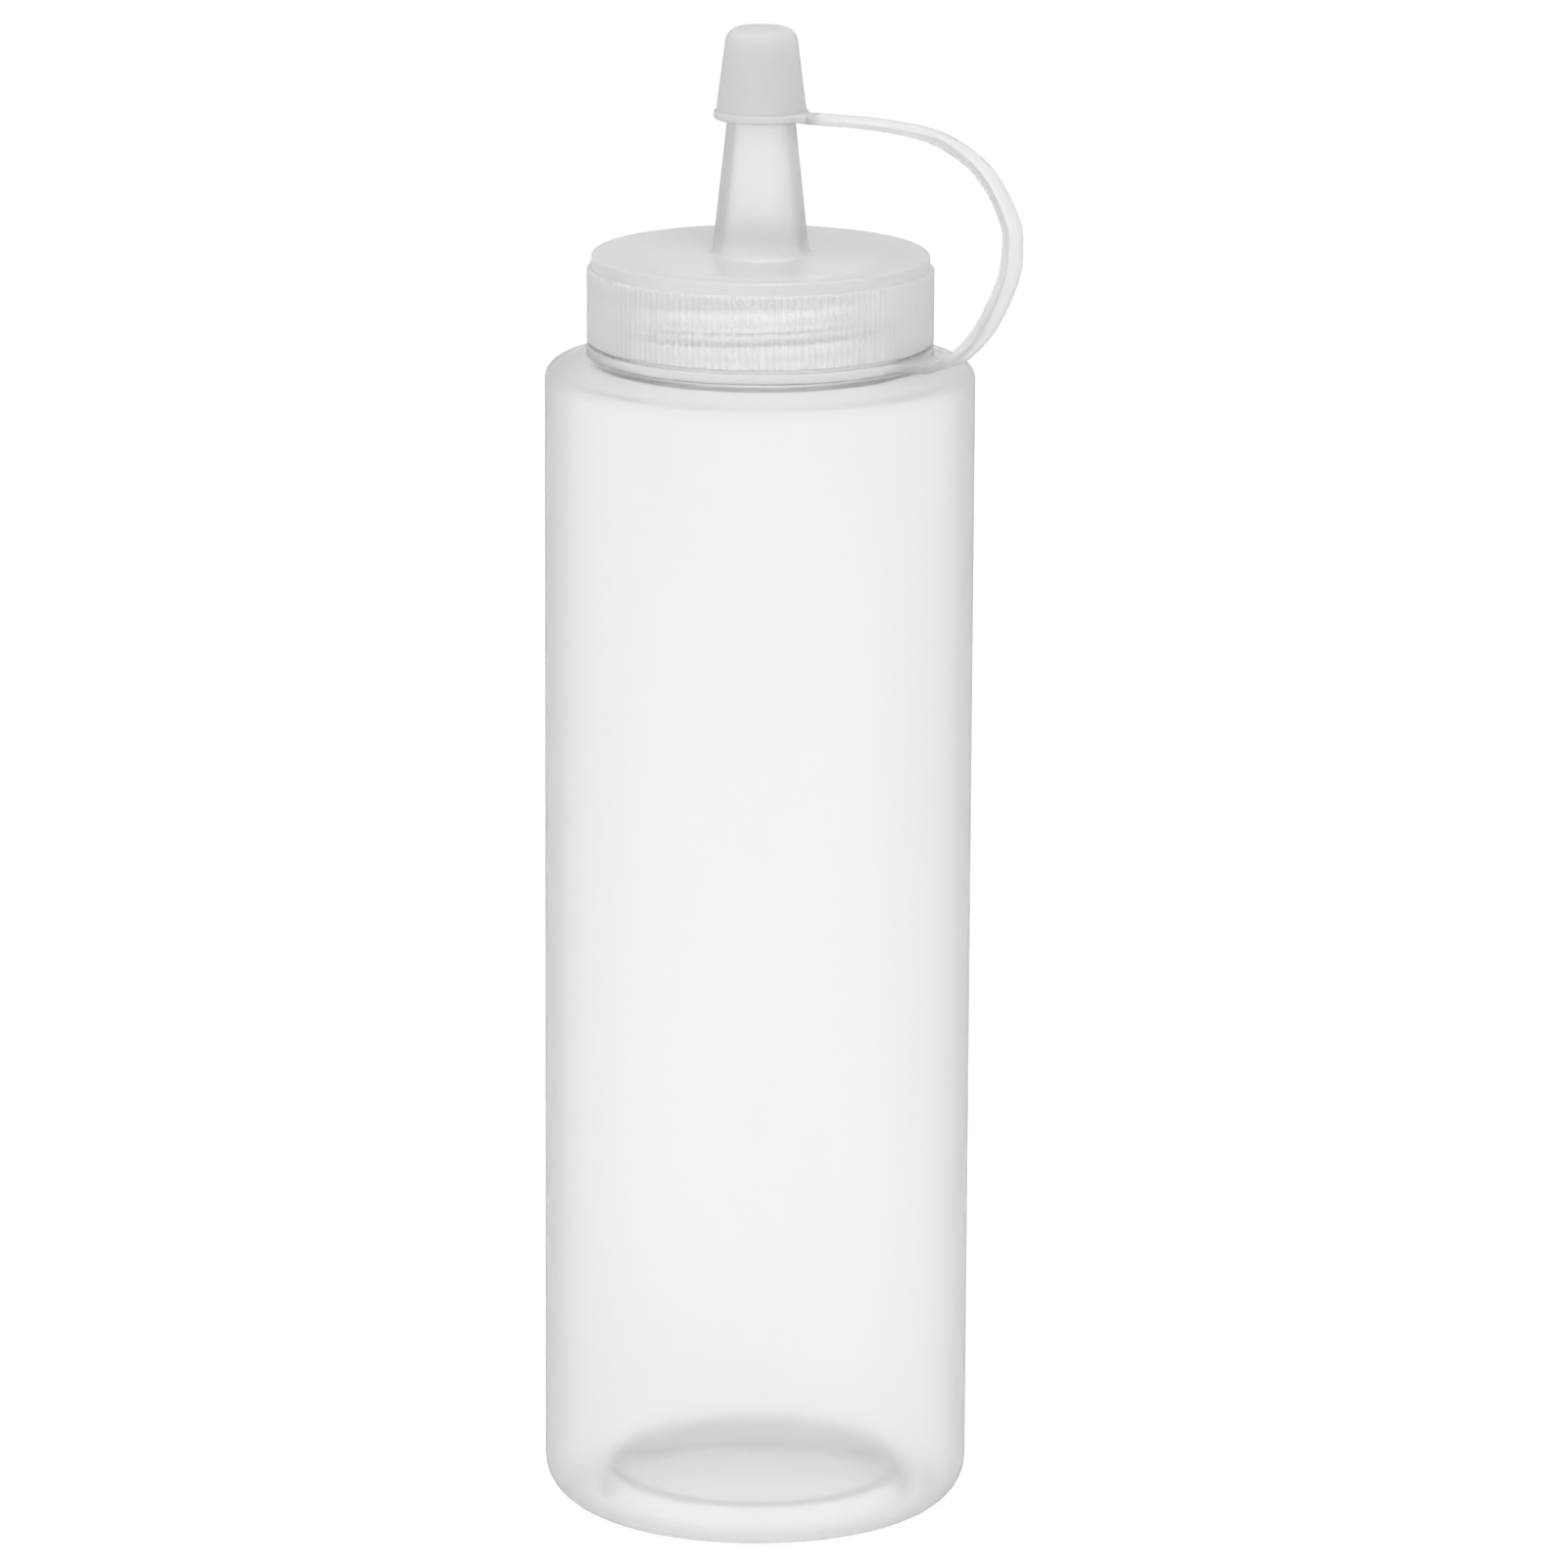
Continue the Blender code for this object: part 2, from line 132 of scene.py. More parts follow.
def pick_vertices(thing: bpy.types.Object, wanted: Callable[[Vector], bool]) -> None:
    """Select the vertices whose place passes a test.

    Args:
        thing: The mesh object, open for editing.
        wanted: Says for a place whether its vertex is selected.
    """
    bpy.ops.mesh.select_mode(type="VERT")
    bpy.ops.mesh.select_all(action="DESELECT")
    shape = bmesh.from_edit_mesh(thing.data)
    for vertex in shape.verts:
        vertex.select = wanted(vertex.co)
    shape.select_flush_mode()
    bmesh.update_edit_mesh(thing.data)


def pick_edges(thing: bpy.types.Object, wanted: Callable[[Vector, Vector], bool]) -> None:
    """Select the edges whose two ends pass a test.

    Args:
        thing: The mesh object, open for editing.
        wanted: Says for two places whether the edge between them is selected.
    """
    bpy.ops.mesh.select_mode(type="EDGE")
    bpy.ops.mesh.select_all(action="DESELECT")
    shape = bmesh.from_edit_mesh(thing.data)
    for edge in shape.edges:
        edge.select = wanted(edge.verts[0].co, edge.verts[1].co)
    shape.select_flush_mode()
    bmesh.update_edit_mesh(thing.data)


def extrude_selected(step: Point | Vector) -> None:
    """Extrude what is selected by one step.

    Args:
        step: Where the new end lies, seen from the old one.
    """
    bpy.ops.mesh.extrude_region_move(TRANSFORM_OT_translate={"value": step})


def face_outwards() -> None:
    """Select the whole mesh and turn all its faces outwards."""
    bpy.ops.mesh.select_all(action="SELECT")
    bpy.ops.mesh.normals_make_consistent(inside=False)


def draw_line(name: str, places: list[Point], closed: bool) -> bpy.types.Object:
    """Draw a chain of edges by extruding one vertex from place to place.

    The vertex comes from a small plane that is merged at its centre.

    Args:
        name: The new object's name.
        places: The places of the chain's vertices, in order.
        closed: Whether the last vertex joins the first.

    Returns:
        The new object, in edit mode with the whole chain selected.
    """
    clear_selection()
    bpy.ops.mesh.primitive_plane_add(size=SEED_SIZE)
    thing = bpy.context.object
    thing.name = name
    thing.data.name = name
    bpy.ops.object.mode_set(mode="EDIT")
    bpy.ops.mesh.select_mode(type="VERT")
    bpy.ops.mesh.merge(type="CENTER")
    bpy.ops.transform.translate(value=places[0])
    route = places + places[:1] if closed else places
    for here, there in zip(route, route[1:]):
        extrude_selected(Vector(there) - Vector(here))
    bpy.ops.mesh.select_all(action="SELECT")
    bpy.ops.mesh.remove_doubles(threshold=MERGE_DISTANCE)
    return thing


def turn_selected(angle: float, axis: str, about: Vector) -> None:
    """Turn what is selected about an axis through a point, anticlockwise seen from its far end.

    Args:
        angle: The angle in radians.
        axis: X, Y or Z.
        about: The point that the axis passes through.
    """
    bpy.ops.transform.rotate(value=-angle, orient_axis=axis, center_override=about)


def scale_selected(factor: Point, about: Vector) -> None:
    """Scale what is selected about a point.

    Args:
        factor: The scale along x, y and z.
        about: The point that stays.
    """
    bpy.ops.transform.resize(value=factor, center_override=about)


def unite(thing: bpy.types.Object, other: bpy.types.Object) -> None:
    """Fuse another closed mesh into an object and remove the other.

    Args:
        thing: The object that stays.
        other: The object that is joined to it.
    """
    union = thing.modifiers.new("union", "BOOLEAN")
    union.operation = "UNION"
    union.solver = "EXACT"
    union.object = other
    take_up(thing)
    bpy.ops.object.modifier_apply(modifier=union.name)
    bpy.data.objects.remove(other, do_unlink=True)


@dataclass(frozen=True)
class Corner:
    """A corner of a section in the r-z plane, with the radius that rounds it."""

    r: float
    z: float
    round_by: float = 0.0


@dataclass
class Section:
    """A section of a turned piece, given by its corners."""

    corners: list[Corner]
    closed: bool = False
    round_steps: int = 6

    def points(self) -> list[Point]:
        """Work out the section's points, with an arc at each rounded corner.

        Returns:
            The points in the plane y = 0.
        """
        found = []
        count = len(self.corners)
        for index, corner in enumerate(self.corners):
            here = Vector((corner.r, corner.z))
            if not corner.round_by:
                found.append(here)
                continue
            before = self.corners[index - 1]
            after = self.corners[(index + 1) % count]
            back = (Vector((before.r, before.z)) - here).normalized()
            ahead = (Vector((after.r, after.z)) - here).normalized()
            half = back.angle(ahead) / 2.0
            centre = here + (back + ahead).normalized() * (corner.round_by / math.sin(half))
            first = here + back * (corner.round_by / math.tan(half)) - centre
            last = here + ahead * (corner.round_by / math.tan(half)) - centre
            for step in range(self.round_steps + 1):
                spoke = first.slerp(last, step / self.round_steps).normalized()
                found.append(centre + spoke * corner.round_by)
        return [(place.x, 0.0, place.y) for place in found]

    def turn(self, name: str, steps: int) -> bpy.types.Object:
        """Spin the section once round the z axis into a closed shell.

        Args:
            name: The new object's name.
            steps: The number of steps round the axis.

        Returns:
            The shell, in object mode.
        """
        thing = draw_line(name, self.points(), self.closed)
        bpy.ops.mesh.spin(steps=steps, angle=math.tau, center=(0.0, 0.0, 0.0), axis=(0.0, 0.0, 1.0))
        bpy.ops.mesh.select_all(action="SELECT")
        bpy.ops.mesh.remove_doubles(threshold=MERGE_DISTANCE)
        face_outwards()
        leave_edit()
        return thing


@dataclass(frozen=True)
class Thread:
    """A right-hand screw thread on an upright round wall, faded at both ends."""

    name: str
    wall: float
    crest: float
    low: float
    turns: float
    start: float
    pitch: float = THREAD_PITCH
    root_width: float = 2.1 * MM
    crest_width: float = 0.9 * MM
    sunk: float = 0.25 * MM
    round_by: float = 0.35 * MM
    steps_per_turn: int = 72
    fade_steps: int = 9
    fade_share: float = 0.35

    def build(self) -> bpy.types.Object:
        """Extrude the thread's section along its helix.

        Returns:
            The thread as a closed mesh object.
        """
        inner = self.wall - math.copysign(self.sunk, self.crest - self.wall)
        half = self.root_width / 2.0
        tip = self.crest_width / 2.0
        section = [
            (inner, 0.0, -half), (self.crest, 0.0, -tip),
            (self.crest, 0.0, tip), (inner, 0.0, half),
        ]
        thing = draw_line(self.name, section, True)
        bpy.ops.mesh.bevel(offset=self.round_by, segments=BEVEL_SEGMENTS, affect="VERTICES")
        bpy.ops.mesh.select_all(action="SELECT")
        bpy.ops.mesh.edge_face_add()
        step_turn = math.tau / self.steps_per_turn
        step_rise = self.pitch / self.steps_per_turn
        count = round(self.turns * self.steps_per_turn)
        growth = self.fade_share ** (-1.0 / self.fade_steps)
        middle = Vector()
        here = Matrix.Rotation(self.start, 3, "Z") @ Vector((inner, 0.0, 0.0))
        here.z = self.low
        bpy.ops.transform.translate(value=(0.0, 0.0, self.low))
        turn_selected(self.start, "Z", middle)
        scale_selected((self.fade_share,) * 3, here)
        for step in range(count):
            extrude_selected((0.0, 0.0, step_rise))
            turn_selected(step_turn, "Z", middle)
            here = Matrix.Rotation(step_turn, 3, "Z") @ here
            here.z += step_rise
            if step < self.fade_steps:
                scale_selected((growth,) * 3, here)
            elif step >= count - self.fade_steps:
                scale_selected((1.0 / growth,) * 3, here)
        face_outwards()
        leave_edit()
        return thing


@dataclass(frozen=True)
class FrostedPlastic:
    """A translucent moulded plastic with a finely frosted skin and faint drifts in its wall.

    The plastic can be clearer above a height, upper_start, than below it.
    """

    name: str
    tint: Point
    clearness: float
    roughness: float
    absorbed: float
    index: float
    roughness_drift: float = 0.04
    absorbed_tint: Point = (0.5, 0.51, 0.51)
    grain_scale: float = 2600.0
    grain_depth: float = 0.004 * MM
    noise_detail: float = 3.0
    drift_scale: float = 60.0
    drift_stretch: Point = (1.0, 1.0, 0.25)
    drift_span: tuple[float, float] = (0.35, 0.65)
    tint_drift: float = 0.015
    soft_share: float = 1.0
    soft_spread: Point = (1.0, 1.0, 1.0)
    soft_depth: float = 1.0 * MM
    upper_clearness: float | None = None
    upper_start: float = 0.0
    upper_blend: float = 4.0 * MM

    def material(self) -> bpy.types.Material:
        """Build the node material.

        Returns:
            The new material.
        """
        material = bpy.data.materials.new(self.name)
        material.use_nodes = True
        tree = material.node_tree
        shader = tree.nodes["Principled BSDF"]
        shader.inputs["IOR"].default_value = self.index
        shader.inputs["Transmission Weight"].default_value = self.clearness
        shader.inputs["Subsurface Weight"].default_value = self.soft_share
        shader.inputs["Subsurface Radius"].default_value = self.soft_spread
        shader.inputs["Subsurface Scale"].default_value = self.soft_depth
        place = tree.nodes.new("ShaderNodeTexCoord").outputs["Object"]
        stretch = tree.nodes.new("ShaderNodeMapping")
        stretch.inputs["Scale"].default_value = self.drift_stretch
        tree.links.new(place, stretch.inputs["Vector"])
        if self.upper_clearness is not None:
            self.clear_upper_part(tree, place, shader.inputs["Transmission Weight"])
        drift = self.noise(tree, stretch.outputs["Vector"], self.drift_scale)
        self.vary_roughness(tree, drift, shader.inputs["Roughness"])
        self.vary_tint(tree, drift, shader.inputs["Base Color"])
        bump = tree.nodes.new("ShaderNodeBump")
        bump.inputs["Distance"].default_value = self.grain_depth
        tree.links.new(self.noise(tree, place, self.grain_scale), bump.inputs["Height"])
        tree.links.new(bump.outputs["Normal"], shader.inputs["Normal"])
        soak = tree.nodes.new("ShaderNodeVolumeAbsorption")
        soak.inputs["Color"].default_value = (*self.absorbed_tint, 1.0)
        soak.inputs["Density"].default_value = self.absorbed
        tree.links.new(soak.outputs["Volume"], tree.nodes["Material Output"].inputs["Volume"])
        material.diffuse_color = (*self.tint, 1.0)
        return material

    def noise(self, tree: bpy.types.NodeTree, place: bpy.types.NodeSocket,
              scale: float) -> bpy.types.NodeSocket:
        """Add a noise texture.

        Args:
            tree: The material's nodes.
            place: The coordinates that it reads.
            scale: The noise's scale.

        Returns:
            The texture's value, from 0 to 1.
        """
        texture = tree.nodes.new("ShaderNodeTexNoise")
        texture.inputs["Scale"].default_value = scale
        texture.inputs["Detail"].default_value = self.noise_detail
        tree.links.new(place, texture.inputs["Vector"])
        return texture.outputs["Fac"]

    def vary_roughness(self, tree: bpy.types.NodeTree, source: bpy.types.NodeSocket,
                       target: bpy.types.NodeSocket) -> None:
        """Let a texture vary the skin's roughness about its middle.

        Args:
            tree: The material's nodes.
            source: The texture's value.
            target: The shader's roughness.
        """
        spread = tree.nodes.new("ShaderNodeMapRange")
        spread.inputs["To Min"].default_value = self.roughness - self.roughness_drift
        spread.inputs["To Max"].default_value = self.roughness + self.roughness_drift
        tree.links.new(source, spread.inputs["Value"])
        tree.links.new(spread.outputs["Result"], target)

    def clear_upper_part(self, tree: bpy.types.NodeTree, place: bpy.types.NodeSocket,
                         target: bpy.types.NodeSocket) -> None:
        """Make the plastic clearer above a height, where its wall is thinner and polished.

        Args:
            tree: The material's nodes.
            place: The object's own coordinates.
            target: The shader's transmission weight.
        """
        split = tree.nodes.new("ShaderNodeSeparateXYZ")
        tree.links.new(place, split.inputs["Vector"])
        rise = tree.nodes.new("ShaderNodeMapRange")
        rise.interpolation_type = "SMOOTHSTEP"
        rise.inputs["From Min"].default_value = self.upper_start
        rise.inputs["From Max"].default_value = self.upper_start + self.upper_blend
        rise.inputs["To Min"].default_value = self.clearness
        rise.inputs["To Max"].default_value = self.upper_clearness
        tree.links.new(split.outputs["Z"], rise.inputs["Value"])
        tree.links.new(rise.outputs["Result"], target)

    def vary_tint(self, tree: bpy.types.NodeTree, source: bpy.types.NodeSocket,
                  target: bpy.types.NodeSocket) -> None:
        """Let a texture shade the plastic's colour slightly.

        Args:
            tree: The material's nodes.
            source: The texture's value.
            target: The shader's base colour.
        """
        ramp = tree.nodes.new("ShaderNodeValToRGB")
        low, high = ramp.color_ramp.elements
        low.position, high.position = self.drift_span
        low.color = (*(channel * (1.0 - self.tint_drift) for channel in self.tint), 1.0)
        high.color = (*self.tint, 1.0)
        tree.links.new(source, ramp.inputs["Fac"])
        tree.links.new(ramp.outputs["Color"], target)


BLOWN_PLASTIC = FrostedPlastic(
    "frosted blown plastic", tint=(0.975, 0.976, 0.976), clearness=0.98, roughness=0.33,
    absorbed=80.0, index=1.12,
)
# The nozzle is clearer than the skirt and the roof below it.
CAP_PLASTIC = FrostedPlastic(
    "frosted cap plastic", tint=(0.992, 0.992, 0.992), clearness=0.52, roughness=0.33,
    absorbed=14.0, index=1.35, soft_depth=0.15 * MM,
    upper_clearness=0.85, upper_start=164.4 * MM,
)
TETHER_PLASTIC = FrostedPlastic(
    "milky tether plastic", tint=(0.86, 0.86, 0.86), clearness=0.65, roughness=0.33,
    absorbed=0.0, index=1.15,
)
# Painted shade: the tip cap is moulded with the tether, but its tint is made darker to hold back
# the front lamp's light on its rounded top.
TIP_CAP_PLASTIC = FrostedPlastic(
    "milky tip cap plastic with painted shade", tint=(0.71, 0.71, 0.71), clearness=0.3, roughness=0.5,
    absorbed=3.0, index=1.12,
)


def dress(thing: bpy.types.Object, plastic: bpy.types.Material, body: Body | None,
          node: str) -> None:
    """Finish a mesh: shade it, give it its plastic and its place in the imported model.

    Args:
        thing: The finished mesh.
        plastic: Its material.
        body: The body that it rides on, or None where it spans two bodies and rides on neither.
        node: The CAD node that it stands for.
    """
    take_up(thing)
    bpy.ops.object.shade_smooth_by_angle(angle=SMOOTH_ANGLE)
    thing.data.materials.clear()
    thing.data.materials.append(plastic)
    if body:
        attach(thing, body.value)
    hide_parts(node)
    LOG.info("%s stands for %s", thing.name, node)


@dataclass
class BlownBottle:
    """The blown bottle: body, shoulder, threaded neck and recessed underside in one thin shell."""

    plastic: bpy.types.Material
    radius: float
    mouth_z: float
    wall: float = 0.9 * MM
    shoulder_wall: float = 1.3 * MM
    floor_wall: float = 1.0 * MM
    heel_round: float = 5.5 * MM
    shoulder_round: float = 2.0 * MM
    shoulder_slope: float = math.radians(20.0)
    standing_width: float = 1.9 * MM
    punt_step: float = 1.5 * MM
    punt_depth: float = 3.4 * MM
    punt_crown: float = 1.8 * MM
    punt_round: float = 0.7 * MM
    neck_setback: float = 8.1 * MM
    neck_height: float = 11.3 * MM
    neck_wall: float = 1.5 * MM
    neck_foot_round: float = 0.5 * MM
    neck_under_round: float = 2.0 * MM
    lip_round: float = 0.35 * MM
    land_width: float = 3.2 * MM
    land_round: float = 1.2 * MM
    thread_proud: float = 1.2 * MM
    thread_drop: float = 8.4 * MM
    thread_turns: float = 1.5
    thread_start: float = math.radians(200.0)
    seam_bearing: float = math.radians(-15.0)
    seam_width: float = 1.2 * MM
    seam_rise: float = 1.1 * MM
    seam_drop: float = 0.4 * MM
    seam_round: float = 0.4 * MM
    steps: int = 192
    round_steps: int = 8
    crown_steps: int = 10
    seam_steps: int = 12

    def neck_r(self) -> float:
        """Radius of the neck outside, under its thread."""
        return self.radius - self.neck_setback

    def bore_r(self) -> float:
        """Radius of the neck's bore."""
        return self.neck_r() - self.neck_wall

    def crown(self, steps: int) -> list[tuple[float, float]]:
        """The domed top of the recess under the bottle, in section.

        Args:
            steps: The number of steps from the axis to the recess's step.

        Returns:
            Distance from the axis and height of each point, from the axis out.
        """
        reach = self.radius - self.heel_round - self.standing_width - self.punt_step
        dome = (reach * reach + self.punt_crown * self.punt_crown) / (2.0 * self.punt_crown)
        middle = self.punt_depth + self.punt_crown - dome
        turn = math.asin(reach / dome)
        found = []
        for step in range(steps + 1):
            angle = turn * step / steps
            found.append((dome * math.sin(angle), middle + dome * math.cos(angle)))
        return found

    def section(self) -> Section:
        """The wall in section: outside from the underside up, then inside back down.

        Returns:
            The section, from axis to axis.
        """
        neck_r, bore = self.neck_r(), self.bore_r()
        land_r = neck_r + self.land_width
        land_z = self.mouth_z - self.neck_height
        slope = math.tan(self.shoulder_slope)
        shoulder_z = land_z - (self.radius - land_r) * slope
        punt_r = self.radius - self.heel_round - self.standing_width
        crown = self.crown(self.crown_steps)
        under = [Corner(r, z) for r, z in crown[:-1]]
        above = [Corner(r, z + self.floor_wall) for r, z in reversed(crown[:-1])]
        inside = self.radius - self.wall
        land_under = land_z - self.shoulder_wall
        inner_turn_r = inside - (land_under - (shoulder_z - self.shoulder_wall)) / slope
        return Section([
            *under,
            Corner(punt_r - self.punt_step, self.punt_depth, self.punt_round),
            Corner(punt_r, 0.0, self.punt_round),
            Corner(self.radius, 0.0, self.heel_round),
            Corner(self.radius, shoulder_z, self.shoulder_round),
            Corner(land_r, land_z, self.land_round),
            Corner(neck_r, land_z, self.neck_foot_round),
            Corner(neck_r, self.mouth_z, self.lip_round),
            Corner(bore, self.mouth_z, self.lip_round),
            Corner(bore, land_under, self.neck_under_round),
            Corner(inner_turn_r, land_under, self.land_round),
            Corner(inside, shoulder_z - self.shoulder_wall, self.shoulder_round),
            Corner(inside, self.floor_wall, self.heel_round - self.wall),
            Corner(punt_r, self.floor_wall, self.punt_round),
            Corner(punt_r - self.punt_step, self.punt_depth + self.floor_wall, self.punt_round),
            *above,
        ], round_steps=self.round_steps)

    def seam(self) -> bpy.types.Object:
        """The mould's pinch-off seam: a low bead across the floor, proud inside and out.

        Returns:
            The ridge as a closed mesh object.
        """
        half = self.crown(self.seam_steps)[:-1]
        line = [(-r, z) for r, z in reversed(half[1:])] + half
        outline = [(r, z + self.floor_wall + self.seam_rise) for r, z in line]
        outline += [(r, z - self.seam_drop) for r, z in reversed(line)]
        ridge = draw_line("base_seam", [(r, -self.seam_width / 2.0, z) for r, z in outline], True)
        bpy.ops.mesh.edge_face_add()
        extrude_selected((0.0, self.seam_width, 0.0))
        face_outwards()
        low = self.punt_depth + self.floor_wall

        def on_top(one: Vector, other: Vector) -> bool:
            """Say whether an edge runs along the bead's upper side.

            Args:
                one: The edge's first end.
                other: Its second end.

            Returns:
                Whether both ends are above the floor and on the same flank.
            """
            return min(one.z, other.z) > low and abs(one.y - other.y) < MERGE_DISTANCE

        pick_edges(ridge, on_top)
        bpy.ops.mesh.bevel(offset=self.seam_round, segments=BEVEL_SEGMENTS, affect="EDGES")
        bpy.ops.mesh.select_all(action="SELECT")
        turn_selected(self.seam_bearing, "Z", Vector())
        leave_edit()
        return ridge

    def thread(self) -> Thread:
        """The screw thread on the neck.

        Returns:
            The thread, to be built.
        """
        return Thread(
            "neck_thread", wall=self.neck_r(), crest=self.neck_r() + self.thread_proud,
            low=self.mouth_z - self.thread_drop, turns=self.thread_turns, start=self.thread_start,
        )

    def build(self) -> None:
        """Turn the shell, fuse its thread and its seam and dress it."""
        shell = self.section().turn("bottle_shell", self.steps)
        unite(shell, self.thread().build())
        unite(shell, self.seam())
        dress(shell, self.plastic, Body.BOTTLE, "bottle")


@dataclass
class ScrewCap:
    """The screw cap: knurled skirt, stepped smooth rim, nozzle and the plug that seals the neck."""

    plastic: bpy.types.Material
    skirt_z: float
    tip_z: float
    mouth_z: float
    bore_r: float
    seat_gap: float = 0.3 * MM
    skirt_inner: float = 20.95 * MM
    skirt_wall: float = 0.87 * MM
    edge_round: float = 0.12 * MM
    knurl_depth: float = 0.33 * MM
    ridges: int = 156
    ridge_shares: tuple[float, ...] = (1.0, 0.6, 0.0, 0.6)
    ridge_end: float = 0.28 * MM
    rim_step: float = 0.55 * MM
    rim_height: float = 1.7 * MM
    rim_round: float = 0.4 * MM
    step_round: float = 0.06 * MM
    roof: float = 1.4 * MM
    roof_under_round: float = 0.6 * MM
    plug_wall: float = 1.0 * MM
    plug_depth: float = 3.2 * MM
    plug_lead: float = 0.3 * MM
    plug_outer_round: float = 0.3 * MM
    plug_inner_round: float = 0.4 * MM
    nozzle_foot: float = 6.2 * MM
    nozzle_foot_round: float = 0.6 * MM
    nozzle_tip: float = 3.4 * MM
    nozzle_tip_round: float = 0.3 * MM
    nozzle_wall: float = 1.15 * MM
    nozzle_under_round: float = 0.5 * MM
    round_steps: int = 4
    thread_proud: float = 1.15 * MM
    thread_drop: float = 6.6 * MM
    thread_turns: float = 1.25
    thread_start: float = math.radians(172.0)

    def root(self) -> float:
        """Radius of the skirt between the ridges."""
        return self.skirt_inner + self.skirt_wall

    def section(self) -> Section:
        """The cap in section, from the nozzle's tip down the outside and back up the bore.

        Returns:
            The section as a loop.
        """
        under = self.mouth_z + self.seat_gap
        top = under + self.roof
        step_z = top - self.rim_height
        rim = self.root() + self.knurl_depth - self.rim_step
        plug_out = self.bore_r - self.seat_gap
        plug_in = plug_out - self.plug_wall
        plug_z = under - self.plug_depth
        return Section([
            Corner(self.nozzle_tip - self.nozzle_wall, self.tip_z, self.edge_round),
            Corner(self.nozzle_tip, self.tip_z, self.nozzle_tip_round),
            Corner(self.nozzle_foot, top, self.nozzle_foot_round),
            Corner(rim, top, self.rim_round),
            Corner(rim, step_z, self.step_round),
            Corner(self.root(), step_z, self.step_round),
            Corner(self.root(), step_z - self.ridge_end),
            Corner(self.root(), self.skirt_z + self.ridge_end),
            Corner(self.root(), self.skirt_z, self.edge_round),
            Corner(self.skirt_inner, self.skirt_z, self.edge_round),
            Corner(self.skirt_inner, under, self.roof_under_round),
            Corner(plug_out, under, self.plug_outer_round),
            Corner(plug_out, plug_z + self.plug_lead),
            Corner(plug_out - self.plug_lead, plug_z, self.edge_round),
            Corner(plug_in, plug_z, self.edge_round),
            Corner(plug_in, under, self.plug_inner_round),
            Corner(self.nozzle_foot - self.nozzle_wall, under, self.nozzle_under_round),
        ], closed=True, round_steps=self.round_steps)

    def raise_ridges(self, shell: bpy.types.Object) -> None:
        """Push columns of the skirt outwards, so that the skirt gets its upright ridges.

        Args:
            shell: The cap, spun with a column for each share of a ridge.
        """
        per_ridge = len(self.ridge_shares)
        column = math.tau / (self.ridges * per_ridge)
        step_z = self.mouth_z + self.seat_gap + self.roof - self.rim_height
        low = self.skirt_z + self.ridge_end / 2.0
        high = step_z - self.ridge_end / 2.0
        near = self.root() - self.skirt_wall / 2.0
        open_edit(shell)
        for share in sorted(set(self.ridge_shares) - {0.0}):
            wanted = {index for index, own in enumerate(self.ridge_shares) if own == share}

            def on_ridge(place: Vector) -> bool:
                """Say whether a place lies on a column with this share.

                Args:
                    place: A vertex's place.

                Returns:
                    Whether it is on the skirt's outer face and on such a column.
                """
                if not low < place.z < high or math.hypot(place.x, place.y) < near:
                    return False
                return round(math.atan2(place.y, place.x) / column) % per_ridge in wanted

            pick_vertices(shell, on_ridge)
            grown = (self.root() + self.knurl_depth * share) / self.root()
            scale_selected((grown, grown, 1.0), Vector())
        leave_edit()

    def thread(self) -> Thread:
        """The screw thread inside the skirt, half a pitch from the neck's.

        Returns:
            The thread, to be built.
        """
        return Thread(
            "skirt_thread", wall=self.skirt_inner, crest=self.skirt_inner - self.thread_proud,
            low=self.mouth_z - self.thread_drop, turns=self.thread_turns, start=self.thread_start,
        )

    def build(self) -> None:
        """Turn the cap, raise its ridges, fuse its thread and dress it."""
        shell = self.section().turn("screw_cap_shell", self.ridges * len(self.ridge_shares))
        self.raise_ridges(shell)
        unite(shell, self.thread().build())
        dress(shell, self.plastic, Body.SCREW_CAP, "screw_cap")


